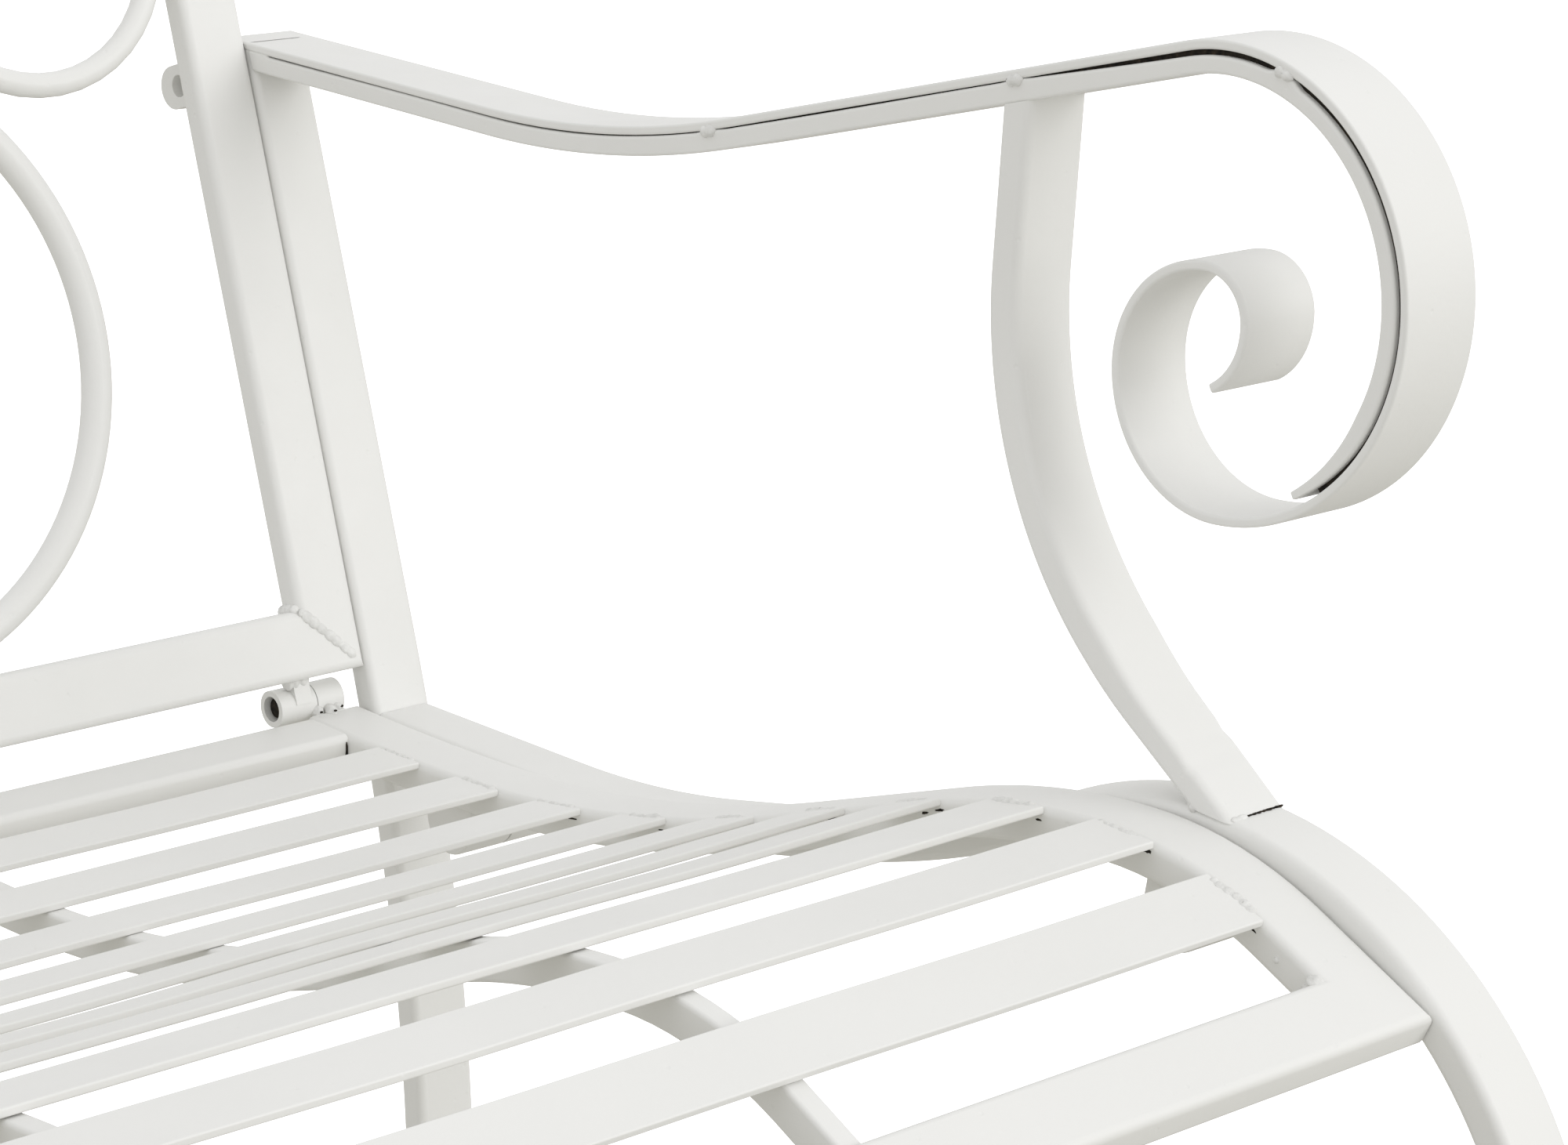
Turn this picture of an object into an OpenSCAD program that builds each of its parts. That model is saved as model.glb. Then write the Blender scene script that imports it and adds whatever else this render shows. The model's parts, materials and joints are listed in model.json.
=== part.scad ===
// Daybed: white iron, slatted S-curved seat, hinged ring back, two bolted side frames with scroll arms.
// +Z is up, the front faces -Y, +X is the sitter's left. The floor is z = 0, x = 0 is the middle.
// Side view curves are paths of straight and round steps, walked from the back towards the front.

/* [Overall] */
// Height of the seat's highest line above the floor
seat_h = 450; // [420:5:480]
// Large rings in the back; they set the length of the daybed
ring_count = 7; // [4:1:7]
// Slats in the seat
slat_count = 10; // [10:1:10]

/* [Tube and bar] */
// Wide face of the rectangular tube
tube_w = 25; // [24:0.5:26]
// Narrow face of the rectangular tube
tube_t = 12.5; // [12:0.5:13]
// Wall of the tube
wall = 1.5; // [1.2:0.1:2]
// Width of a slat
slat_w = 24; // [22:0.5:25]
// Thickness of a slat
slat_t = 2.5; // [2:0.5:3]
// Distance from slat to slat, along the curve
slat_pitch = 45; // [44:0.5:46]
// Width of an intermediate support
support_w = 8; // [6:1:10]
// Depth of an intermediate support
support_t = 12; // [10:1:12]
// Bays between intermediate supports
bay_count = 10; // [8:1:10]

/* [Arm] */
// Width of the strap on top of the arm
strap_w = 30; // [26:1:32]
// Thickness of the strap
strap_t = 3; // [2.5:0.5:3]
// Thickness of the bar under the strap
bar_t = 7; // [6:0.5:8]

/* [Back] */
// Lean of the back from upright, in degrees
lean = 16; // [16:1:16]
// Outside diameter of a large ring
ring_d = 228; // [224:1:232]
// Outside diameter of a small ring
small_ring_d = 115; // [112:1:116]
// Diameter of the large rings' wire
wire_d = 11; // [10:0.5:12]
// Diameter of the small rings' wire
small_wire_d = 9; // [8:0.5:10]
// Space between the post and the first large ring
ring_inset = 54.5; // [52:0.5:58]
// Space from large ring to large ring
ring_gap = 14; // [12:1:16]
// Height of the small rings' centres above the bottom rail
small_ring_h = 253.5; // [250:0.5:258]

/* [Hinge and bolts] */
// Outside diameter of the hinge barrels
barrel_d = 13.7; // [13:0.1:14]
// Bore of the hinge barrels
barrel_bore = 9.4; // [9.2:0.1:9.6]
// Diameter of the hinge pin
pin_d = 9.26; // [9.06:0.02:9.3]
// Diameter of the bolts
bolt_d = 8; // [8:1:8]
// Gap between the seat or back frame and the side frame
side_gap = 0.4; // [0.3:0.1:1]

/* [Hidden] */
RAILS = ["seat_rail_right", "seat_rail_left", "seat_rear_rail", "seat_front_rail"];
SLATS = [for (i = [1:slat_count]) str("slat_", i)];
SUPPORTS = [for (i = [1:bay_count - 1]) str("seat_support_", i)];
RINGS = [for (i = [1:ring_count]) str("back_ring_", i)];

paint = "#eceeea";
paint_dim = "#dcded9";
steel = "#c9cbc8";
arc_step = 3;
far = 1500;

seat_l = ring_count * (ring_d + ring_gap) - ring_gap + 2 * ring_inset;   // between the seat's side rails
seat_x = seat_l / 2;                             // inner face of a seat rail or back post
rail_x = seat_x + tube_w;                        // its outer face
frame_x = rail_x + side_gap;                     // inner face of a side frame

// ---- side view paths: [start [y, z], heading, [[radius or length, turn], ...]] ----
// Right is +X, the right-hand end as seen from the front.
// A turn of 0 is a straight length. Heading 180 goes to the front, 270 goes down.
// Heights here are counted from the seat's own datum, which lift and shift place in the frame.
seat_path = [[12, -2.8], 183.3, [[1500, -3.3], [566, -17], [71.1, 0], [271, 17], [145, 27], [46.6, 0]]];
seat_len = path_length(seat_path[2]);
crest_z = 52.4;
lift = seat_h - crest_z;
shift = 210;
foot_t = 3;

post_front = [10.2, 20];      // a point on the front face of the back posts and rear legs
leg_bow_r = 750;
leg_top = 244;
rear_leg_path = [post_front + leg_top / sin(90 - lean) * [sin(lean), cos(lean)], 270 - lean,
    [[leg_top / cos(lean), 0], [leg_bow_r, 36]]];

front_leg_path = [[12, -4.6], 181.6, [[100, 0], [420, -11.6], [61.8, 0], [430, -14], [160, 24],
    [141, 100], [120, 0], [250, -20], [130, 0]]];

arm_path = [[86, 237], 183.5, [[154, 0], [450, -16], [201, 0], [70.5, 192.5],
    [41, 90], [36, 90], [17, 90], [24, 62]]];
bar_end_turn = 164;           // how far round the scroll the bar under the strap goes
arm_rise_s = path_length([for (i = [0:2]) arm_path[2][i]]);   // where the scroll begins
scroll_r = arm_path[2][3][0];

arm_support_path = [[-316.5, 262], 274.9, [[56, 0], [148, -59], [50, 0]]];

// The back frame's own datum is the lower edge of its front face
back_origin = [post_front[0] - 7 * tan(lean), post_front[1] - 7];
back_h = tube_w + small_ring_h + small_ring_d / 2 + tube_w;
small_ring_z = tube_w + small_ring_h;
hinge = [20, 0.5];            // y and z of the hinge line
boss_ys = [77, 435];          // places of the seat bosses along the seat path
boss_w = 25;
boss_h = 20;
boss_in = 5;                  // an inner boss stands this far in from the tube's inner face
boss_hole_h = 7;              // from the tube to the bolt line
post_bolt_h = 221.5;          // height of the post bolt up the back post
post_boss_w = 16;
post_boss_h = 18.5;
front_rail_s = seat_len - tube_w;

// ---- path functions ----
function step_length(st) = st[1] == 0 ? st[0] : st[0] * abs(st[1]) * PI / 180;
function path_length(steps, i = 0) = i == len(steps) ? 0 : step_length(steps[i]) + path_length(steps, i + 1);
function left_of(h) = [-sin(h), cos(h)];

// Point and heading after a part u of one step
function along(p, h, st, u) =
    st[1] == 0 ? [p + u * st[0] * [cos(h), sin(h)], h] :
    let (side = sign(st[1]) * st[0], h2 = h + u * st[1])
    [p + side * left_of(h) - side * left_of(h2), h2];

// Point and heading at the distance s along a path
function at(path, s, i = 0) =
    let (st = path[2][i], l = step_length(st))
    (s <= l || i == len(path[2]) - 1) ? along(path[0], path[1], st, s / l) :
    let (e = along(path[0], path[1], st, 1)) at([e[0], e[1], path[2]], s - l, i + 1);

// Distances at which an outline needs a point
function breaks(steps, s = 0, i = 0) =
    i == len(steps) ? [] :
    let (l = step_length(steps[i]), n = max(1, ceil(abs(steps[i][1]) / arc_step)))
    concat([for (k = [1:n]) s + l * k / n], breaks(steps, s + l, i + 1));

// Outline of a strip from s0 to s1, between the offsets d0 and d1 to the left of the path
function strip(path, s0, s1, d0, d1) =
    let (mid = [for (b = breaks(path[2])) if (b > s0 + 0.05 && b < s1 - 0.05) b],
         ss = concat([s0], mid, [s1]),
         ps = [for (s = ss) at(path, s)], n = len(ps))
    concat([for (q = ps) q[0] + d0 * left_of(q[1])],
           [for (k = [1:n]) ps[n - k][0] + d1 * left_of(ps[n - k][1])]);

// ---- helpers ----
// Places a piece drawn in side view heights in the frame
module placed() { translate([0, shift, lift]) children(); }

// A side view outline given a width along X
module slab(outline, x0, x1) {
    translate([x0, 0, 0]) rotate([90, 0, 90]) linear_extrude(x1 - x0) polygon(outline);
}

// A hollow rectangular tube along a path, open at both ends
module bent_tube(path, s0, s1, d0, d1, x0, x1) {
    difference() {
        slab(strip(path, s0, s1, d0, d1), x0, x1);
        slab(strip(path, s0 - 1, s1 + 1, min(d0, d1) + wall, max(d0, d1) - wall), x0 + wall, x1 - wall);
    }
}

// One piece at the right end, or its mirror image at the left end
module side(s) { mirror([s < 0 ? 1 : 0, 0, 0]) children(); }

// Everything that stands in the plane of the back: x along, y into the depth, z up the posts
module in_back() {
    placed() translate([0, back_origin[0], back_origin[1]]) rotate([-lean, 0, 0]) children();
}

module floor_cut() { translate([-far, -far, -far + foot_t]) cube([2 * far, 2 * far, far]); }

// Cylinder along X from x0 to x1
module rod_x(d, x0, x1, y, z) {
    translate([x0, y, z]) rotate([0, 90, 0]) cylinder(d = d, h = x1 - x0, $fn = 48);
}

// Goes to the boss behind a post: y up the post, z away from the tube as -z
module at_post_boss() {
    in_back() translate([0, tube_t, post_bolt_h]) rotate([90, 0, 0]) children();
}

// Goes to a boss under the seat or stretcher: y along the curve, z away from the tube
module at_boss(path, s) {
    q = at(path, s);
    placed() translate([0, q[0][0], q[0][1]]) rotate([q[1] - 180, 0, 0]) translate([0, 0, -tube_t]) children();
}

// ---- side frame ----
module rear_leg_solid() { slab(strip(rear_leg_path, 0, path_length(rear_leg_path[2]), 0, tube_t),
    frame_x, frame_x + tube_w); }

module rear_leg(s) {
    color(paint) side(s) difference() {
        placed() difference() {
            bent_tube(rear_leg_path, 0, path_length(rear_leg_path[2]), 0, tube_t, frame_x, frame_x + tube_w);
            slab(strip(arm_path, -20, 120, -60, strap_t), frame_x - 1, frame_x + tube_w + 1);
        }
        floor_cut();
    }
}

module front_leg_solid() { slab(strip(front_leg_path, 0, path_length(front_leg_path[2]), 0, tube_t),
    frame_x, frame_x + tube_w); }

module front_leg(s) {
    color(paint) side(s) difference() {
        placed() difference() {
            bent_tube(front_leg_path, 0, path_length(front_leg_path[2]), 0, tube_t,
                frame_x, frame_x + tube_w);
            rear_leg_solid();
        }
        floor_cut();
    }
}

module arm_support(s) {
    color(paint) side(s) placed() difference() {
        bent_tube(arm_support_path, 0, path_length(arm_support_path[2]), -tube_t, 0,
            frame_x, frame_x + tube_w);
        slab(strip(front_leg_path, 330, 480, 0, 60), frame_x - 1, frame_x + tube_w + 1);
        slab(strip(arm_path, 0, arm_rise_s, -80, strap_t + bar_t), frame_x - 1, frame_x + tube_w + 1);
    }
}

module arm_bar(s) {
    color(paint) side(s) placed() difference() {
        slab(strip(arm_path, tube_t / 2, arm_rise_s + scroll_r * bar_end_turn * PI / 180,
            strap_t, strap_t + bar_t), frame_x, frame_x + tube_w);
        rear_leg_solid();
    }
}

module arm_strap(s) {
    color(paint) side(s) placed()
        slab(strip(arm_path, 0, path_length(arm_path[2]), 0, strap_t), frame_x, frame_x + strap_w);
}

// Boss with a round end and a bolt hole along X; top lets it reach up to a tube that it's cut to
module boss(x0, x1, hole_d, hole_x0, w = boss_w, h = boss_h, top = 0) {
    difference() {
        intersection() {
            union() {
                translate([x0, -w / 2, -h + w / 2]) cube([x1 - x0, w, h + top]);
                rod_x(w, x0, x1, 0, -h + w / 2);
            }
            translate([x0, -w / 2, -h]) cube([x1 - x0, w, h + top]);
        }
        rod_x(hole_d, hole_x0, x1 + 1, 0, -boss_hole_h);
    }
}

module frame_bosses() {
    color(paint) difference() {
        for (s = [-1, 1], y = boss_ys) side(s) at_boss(seat_path, y)
            boss(frame_x, frame_x + tube_w, bolt_d + 0.4, frame_x - 1, top = 8);
        for (s = [-1, 1]) side(s) placed() front_leg_solid();
    }
    color(paint) for (s = [-1, 1]) side(s) at_post_boss()
        boss(frame_x, frame_x + tube_w - boss_in, bolt_d + 0.4, frame_x - 1, post_boss_w, post_boss_h);
}

module foot_pads() {
    rear_foot = [for (s = [600:0.5:720]) let (q = at(rear_leg_path, s)) if (q[0][1] > -lift + foot_t) q[0][0]];
    front_foot = [for (s = [700:0.5:1100]) let (q = at(front_leg_path, s)) if (q[0][1] > -lift + foot_t) q[0][0]];
    color(paint_dim) for (s = [-1, 1]) side(s) {
        translate([frame_x - 1.5, shift + rear_foot[len(rear_foot) - 1] - 3, 0])
            cube([tube_w + 3, tube_t + 6.5, foot_t]);
        translate([frame_x - 1.5, shift + front_foot[len(front_foot) - 1] - 3, 0])
            cube([tube_w + 3, tube_t + 6.5, foot_t]);
    }
}

// Low domed bolt head or cap nut, with its flat side at x = 0 and the dome towards +X
module dome(d, flange_t, h) {
    r = d / 2;
    ball = (r * r + h * h) / (2 * h);
    rotate([0, 90, 0]) rotate_extrude($fn = 48) {
        square([r, flange_t]);
        translate([0, flange_t]) intersection() {
            translate([0, h - ball]) circle(ball, $fn = 48);
            square([r, h]);
        }
    }
}

// A bolt's shank from x0 to x1, with its head at x1
module bolt(x0, x1) {
    rod_x(bolt_d, x0, x1, 0, -boss_hole_h);
    translate([x1, 0, -boss_hole_h]) dome(14, 2, 3.5);
}

module seat_bolts() {
    color(steel) for (s = [-1, 1], y = boss_ys) side(s) at_boss(seat_path, y)
        bolt(seat_x + boss_in + 6, frame_x + tube_w);
}

module post_bolts() {
    color(steel) for (s = [-1, 1]) side(s) at_post_boss() bolt(frame_x, frame_x + tube_w - boss_in);
}

// ---- seat frame ----
// Tube across the front, mitred at both ends; u runs up the slope of the side rail
module front_rail_solid() {
    tip = at(seat_path, seat_len);
    translate([0, tip[0][0], tip[0][1]]) rotate([tip[1] - 180, 0, 0]) rotate([180, 0, 0])
        linear_extrude(tube_t)
            polygon([[-rail_x, 0], [rail_x, 0], [seat_x, -tube_w], [-seat_x, -tube_w]]);
}

module seat_front_rail() {
    tip = at(seat_path, seat_len);
    color(paint) placed() difference() {
        front_rail_solid();
        translate([0, tip[0][0], tip[0][1]]) rotate([tip[1] - 180, 0, 0])
            translate([-far, wall, -tube_t + wall])
                cube([2 * far, tube_w - 2 * wall, tube_t - 2 * wall]);
    }
}

// What a seat rail loses at its front end, so that it meets the front rail at 45 degrees
module mitre_cut() {
    tip = at(seat_path, seat_len);
    translate([0, tip[0][0], tip[0][1]]) rotate([tip[1] - 180, 0, 0]) rotate([180, 0, 0])
        translate([0, 0, -1]) linear_extrude(tube_t + 2)
            polygon([[rail_x + 1, 1], [seat_x - 1, 1], [seat_x - 1, -tube_w - 1]]);
}

module seat_rail(s) {
    color(paint) side(s) placed() difference() {
        bent_tube(seat_path, 0, seat_len, 0, tube_t, seat_x, rail_x);
        mitre_cut();
    }
}

// A bar along X lying on the seat path between s0 and s0 + w, its top flush with the path
module cross_bar(s0, w, t, x, raise) {
    q = at(seat_path, s0 + w / 2);
    placed() translate([0, q[0][0], q[0][1]]) rotate([q[1] - 180, 0, 0])
        translate([-x, -w / 2, -t + raise]) cube([2 * x, w, t]);
}

module seat_rear_rail() {
    color(paint) difference() {
        cross_bar(0, tube_w, tube_t, seat_x, 0);
        q = at(seat_path, tube_w / 2);
        placed() translate([0, q[0][0], q[0][1]]) rotate([q[1] - 180, 0, 0])
            translate([-seat_x - 1, -tube_w / 2 + wall, -tube_t + wall])
                cube([2 * seat_x + 2, tube_w - 2 * wall, tube_t - 2 * wall]);
    }
}

module slat(i) {
    color(paint) cross_bar(42.6 + (i - 1) * slat_pitch, slat_w, slat_t, seat_x, 0.25);
}

module seat_support(i) {
    x = -seat_x + 2 * seat_x * i / bay_count;
    color(paint) placed() slab(strip(seat_path, tube_w, front_rail_s, slat_t, slat_t + support_t),
        x - support_w / 2, x + support_w / 2);
}

module seat_bosses() {
    color(paint) for (s = [-1, 1], y = boss_ys) side(s) difference() {
        at_boss(seat_path, y) boss(seat_x + boss_in, rail_x, bolt_d + 0.1, seat_x + boss_in + 4);
        placed() slab(strip(seat_path, 0, seat_len, 0, tube_t), seat_x - 1, rail_x + 1);
    }
}

// ---- hinge ----
barrel_gap = 0.4;
barrel_in = seat_x - 10;
barrel_split = seat_x + 6;
barrel_out = seat_x + 18;
web_w = 7;

module seat_barrel(s) {
    color(paint) side(s) placed() difference() {
        union() {
            rod_x(barrel_d, barrel_split + barrel_gap / 2, barrel_out, hinge[0], hinge[1]);
            translate([barrel_out - web_w - 1, 11, hinge[1] - 12]) cube([web_w, 7, 9]);
        }
        rod_x(barrel_bore - 0.1, barrel_split - 1, barrel_out + 1, hinge[0], hinge[1]);
        slab(strip(seat_path, 0, 30, 0, tube_t + 20), seat_x - 1, rail_x + 1);
    }
}

module back_barrel(s) {
    color(paint) side(s) placed() difference() {
        union() {
            rod_x(barrel_d, barrel_in, barrel_split - barrel_gap / 2, hinge[0], hinge[1]);
            translate([0, back_origin[0], back_origin[1]]) rotate([-lean, 0, 0])
                translate([seat_x - web_w / 2, tube_t - 5, -9]) cube([web_w, 5, 9]);
        }
        rod_x(barrel_bore, barrel_in - 1, barrel_split + 1, hinge[0], hinge[1]);
    }
}

module hinge_pins() {
    color(steel) for (s = [-1, 1]) side(s) placed()
        rod_x(pin_d, barrel_in + 7, barrel_out - 1, hinge[0], hinge[1]);
}

// ---- back frame ----
// Mitred frame member: outline in x and z, hollow along the box given by its inside
module back_member(outline, hollow_from, hollow_size) {
    in_back() difference() {
        translate([0, tube_t, 0]) rotate([90, 0, 0]) linear_extrude(tube_t) polygon(outline);
        translate(hollow_from) cube(hollow_size);
    }
}

module back_post(s) {
    color(paint) side(s)
        back_member([[rail_x, 0], [rail_x, back_h], [seat_x, back_h - tube_w], [seat_x, tube_w]],
            [seat_x + wall, wall, -1], [tube_w - 2 * wall, tube_t - 2 * wall, back_h + 2]);
}

module back_rail(z0, z1) {
    back_member([[-rail_x, z0], [rail_x, z0], [seat_x, z1], [-seat_x, z1]],
        [-rail_x - 1, wall, min(z0, z1) + wall], [2 * rail_x + 2, tube_t - 2 * wall, tube_w - 2 * wall]);
}

module back_bottom_rail() { color(paint) back_rail(0, tube_w); }
module back_top_rail() { color(paint) back_rail(back_h, back_h - tube_w); }

// Ring of wire w thick, d over the outside
module wire_ring(d, w) {
    rotate([90, 0, 0]) rotate_extrude($fn = 96) translate([(d - w) / 2, 0]) circle(d = w, $fn = 32);
}

function ring_at(i) = -seat_x + ring_inset + ring_d / 2 + (ring_d + ring_gap) * (i - 1);
ring_z = tube_w + ring_d / 2;

module back_ring(i) {
    color(paint) in_back() translate([ring_at(i), tube_t / 2, ring_z]) wire_ring(ring_d, wire_d);
}

small_ring_xs = concat([-seat_x + small_ring_d / 2],
    [for (i = [1:ring_count - 1]) (ring_at(i) + ring_at(i + 1)) / 2], [seat_x - small_ring_d / 2]);

module back_small_rings() {
    color(paint) in_back() for (x = small_ring_xs)
        translate([x, tube_t / 2, small_ring_z]) wire_ring(small_ring_d, small_wire_d);
}

// A ball in each gap: between large rings, and between a small ring and its large neighbours
module ring_collars() {
    rise = small_ring_z - ring_z;
    color(paint) in_back() {
        for (i = [1:ring_count - 1])
            translate([(ring_at(i) + ring_at(i + 1)) / 2, tube_t / 2, ring_z]) sphere(d = ring_gap, $fn = 32);
        for (i = [1:ring_count], x = small_ring_xs)
            if (abs(x - ring_at(i)) < ring_d * 0.6) {
                reach = norm([x - ring_at(i), rise]);
                space = reach - ring_d / 2 - small_ring_d / 2;
                part = (ring_d + space) / 2 / reach;
                translate([ring_at(i) + (x - ring_at(i)) * part, tube_t / 2, ring_z + rise * part])
                    sphere(d = space, $fn = 32);
            }
    }
}

module back_bosses() {
    color(paint) for (s = [-1, 1]) side(s) at_post_boss()
        boss(seat_x + boss_in, rail_x, bolt_d + 0.1, seat_x, post_boss_w, post_boss_h);
}

// The bolts' inner halves, short of the bosses' inner faces
module post_bolt_ends() {
    color(steel) for (s = [-1, 1]) side(s) at_post_boss()
        rod_x(bolt_d, seat_x + boss_in + 6, rail_x, 0, -boss_hole_h);
}

rear_leg(1);  // rear_leg_right
rear_leg(-1);  // rear_leg_left
front_leg(1);  // front_leg_right
front_leg(-1);  // front_leg_left
arm_support(1);  // arm_support_right
arm_support(-1);  // arm_support_left
arm_bar(1);  // arm_bar_right
arm_bar(-1);  // arm_bar_left
arm_strap(1);  // arm_strap_right
arm_strap(-1);  // arm_strap_left
frame_bosses();
foot_pads();
seat_bolts();
post_bolts();
seat_rail(1);  // seat_rail_right
seat_rail(-1);  // seat_rail_left
seat_rear_rail();
seat_front_rail();
for (i = [1:slat_count]) slat(i);
for (i = [1:bay_count - 1]) seat_support(i);
seat_bosses();
seat_barrel(1);  // seat_barrel_right
seat_barrel(-1);  // seat_barrel_left
hinge_pins();
back_post(1);  // back_post_right
back_post(-1);  // back_post_left
back_bottom_rail();
back_top_rail();
for (i = [1:ring_count]) back_ring(i);
back_small_rings();
ring_collars();
back_barrel(1);  // back_barrel_right
back_barrel(-1);  // back_barrel_left
back_bosses();
post_bolt_ends();
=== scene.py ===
"""Daybed of white powder-coated iron: slatted seat, hinged ring back, scroll arms."""
import bpy
import bmesh
import json
import math
import random
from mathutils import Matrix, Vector


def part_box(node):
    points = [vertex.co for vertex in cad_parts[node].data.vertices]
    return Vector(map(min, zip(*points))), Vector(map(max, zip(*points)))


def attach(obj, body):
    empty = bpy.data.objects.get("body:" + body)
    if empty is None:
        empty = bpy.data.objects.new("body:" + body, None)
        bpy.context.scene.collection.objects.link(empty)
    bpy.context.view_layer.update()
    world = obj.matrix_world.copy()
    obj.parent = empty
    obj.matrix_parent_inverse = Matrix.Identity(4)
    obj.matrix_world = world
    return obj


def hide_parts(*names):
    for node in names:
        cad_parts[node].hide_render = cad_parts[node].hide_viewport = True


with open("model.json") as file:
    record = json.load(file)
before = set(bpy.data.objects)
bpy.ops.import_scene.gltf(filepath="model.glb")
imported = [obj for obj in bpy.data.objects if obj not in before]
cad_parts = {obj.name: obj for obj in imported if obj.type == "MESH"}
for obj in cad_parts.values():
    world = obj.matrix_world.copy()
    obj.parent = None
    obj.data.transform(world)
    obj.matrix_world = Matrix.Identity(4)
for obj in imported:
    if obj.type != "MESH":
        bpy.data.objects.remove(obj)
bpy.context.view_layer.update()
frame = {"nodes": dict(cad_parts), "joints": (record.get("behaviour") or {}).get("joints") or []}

MM = 0.001
FRAME = "frame"
BACK = "back"

# ---- places, from the frame ----
SEAT_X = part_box("slat_1")[1][0]                 # inner face of the right seat rail
RAIL_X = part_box("seat_rail_right")[1][0]        # its outer face
FRAME_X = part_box("front_leg_right")[0][0]       # inner face of the right side frame
TUBE_W = RAIL_X - SEAT_X
FRAME_OUT = FRAME_X + TUBE_W                    # outer face of the right side frame
TUBE_T = 12.5 * MM
SLAT_W = 24 * MM
SLAT_T = 2.5 * MM
SLAT_PITCH = 45 * MM
SLAT_START = 42.6 * MM
SUPPORT_W = 8 * MM
SUPPORT_T = 12 * MM
STRAP_W = 30 * MM
STRAP_T = 3 * MM
BAR_T = 7 * MM
PAD_T = 3 * MM
TUBE_R = 3 * MM                                 # corner radius of the bent tubes
POST_R = 3.6 * MM
BACK_RAIL_R = 3.2 * MM
SUPPORT_R = 1.5 * MM
SLAT_R = 0.6 * MM
STRAP_R = 0.9 * MM
BAR_R = 1.1 * MM
SLATS = 10
BAYS = 10                                       # spaces between the supports along the seat
LEAN_DEGREES = 16                               # of the back
LEAN = math.radians(LEAN_DEGREES)
HINGE = Vector(frame["joints"][0]["pos_m"])
ENDS = ((1, "right"), (-1, "left"))             # the left end is the right one mirrored
X = Vector((1, 0, 0))


class Path:
    """A side view curve of straight and round steps, walked from the back to the front."""

    def __init__(self, start, heading, steps):
        self.start = Vector(start) * MM
        self.heading = math.radians(heading)
        self.steps = [(size * MM, math.radians(turn)) for size, turn in steps]
        self.lengths = [size * abs(turn) if turn else size for size, turn in self.steps]
        self.length = sum(self.lengths)

    def at(self, s):
        """Point (y, z) and heading at the distance s."""
        p, h = self.start.copy(), self.heading
        for (size, turn), length in zip(self.steps, self.lengths):
            u = min(s, length) / length
            if turn == 0:
                p = p + Vector((math.cos(h), math.sin(h))) * size * u
            else:
                side = math.copysign(size, turn)
                h2 = h + turn * u
                p = p + side * (left(h) - left(h2))
                h = h2
            if s <= length:
                break
            s -= length
        return p, h


def left(h):
    return Vector((-math.sin(h), math.cos(h)))


# The same curves as in the CAD model, in millimetres and degrees, from the seat's own datum.
# A step is a length with no turn, or a radius with its turn.
SCROLL_R = 70.5
LEG_TOP = 264
POST_Y, POST_Z = 10.2, 20                       # a point that the front of the leaning posts passes through
BACK_Z = 13                                     # the lower edge of the back
SEAT = Path((12, -2.8), 183.3, [(1500, -3.3), (566, -17), (71.1, 0), (271, 17), (145, 27), (46.6, 0)])
ARM = Path((86, 237), 183.5, [(154, 0), (450, -16), (201, 0), (SCROLL_R, 192.5), (41, 90), (36, 90),
                              (17, 90), (24, 62)])
ARM_SUPPORT = Path((-316.5, 262), 274.9, [(56, 0), (148, -59), (50, 0)])
FRONT_LEG = Path((12, -4.6), 181.6, [(100, 0), (420, -11.6), (61.8, 0), (430, -14), (160, 24),
                                     (141, 100), (120, 0), (250, -20), (130, 0)])
REAR_LEG = Path((POST_Y + (LEG_TOP - POST_Z) * math.tan(LEAN), LEG_TOP), 270 - LEAN_DEGREES,
                [((LEG_TOP - POST_Z) / math.cos(LEAN), 0), (750, 36)])
DATUM = Vector((HINGE.y - 20 * MM, HINGE.z - 0.5 * MM))    # y and z of the paths' zero in the frame
BACK_ORIGIN = Vector((0, DATUM.x + (POST_Y - (POST_Z - BACK_Z) * math.tan(LEAN)) * MM, DATUM.y + BACK_Z * MM))
NEAREST_STEPS = 2000


def on_path(path, s, x, depth=0.0):
    """A point on a path, or depth to its left, and the axes there: along the path, to its left."""
    p, h = path.at(s)
    q = p + left(h) * depth + DATUM
    return (Vector((x, q.x, q.y)), Vector((0, math.cos(h), math.sin(h))), Vector((0, left(h).x, left(h).y)))


def nearest(path, point):
    """The distance along a path at which it passes closest to a point of the frame."""
    flat = Vector((point.y, point.z)) - DATUM
    places = (path.length * k / NEAREST_STEPS for k in range(NEAREST_STEPS + 1))
    return min(places, key=lambda s: (path.at(s)[0] - flat).length)


def in_back(x, y, z):
    """A point given in the plane of the back: x along, y into the depth, z up the posts."""
    c, s = math.cos(LEAN), math.sin(LEAN)
    return BACK_ORIGIN + Vector((x, y * c + z * s, z * c - y * s))


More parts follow.
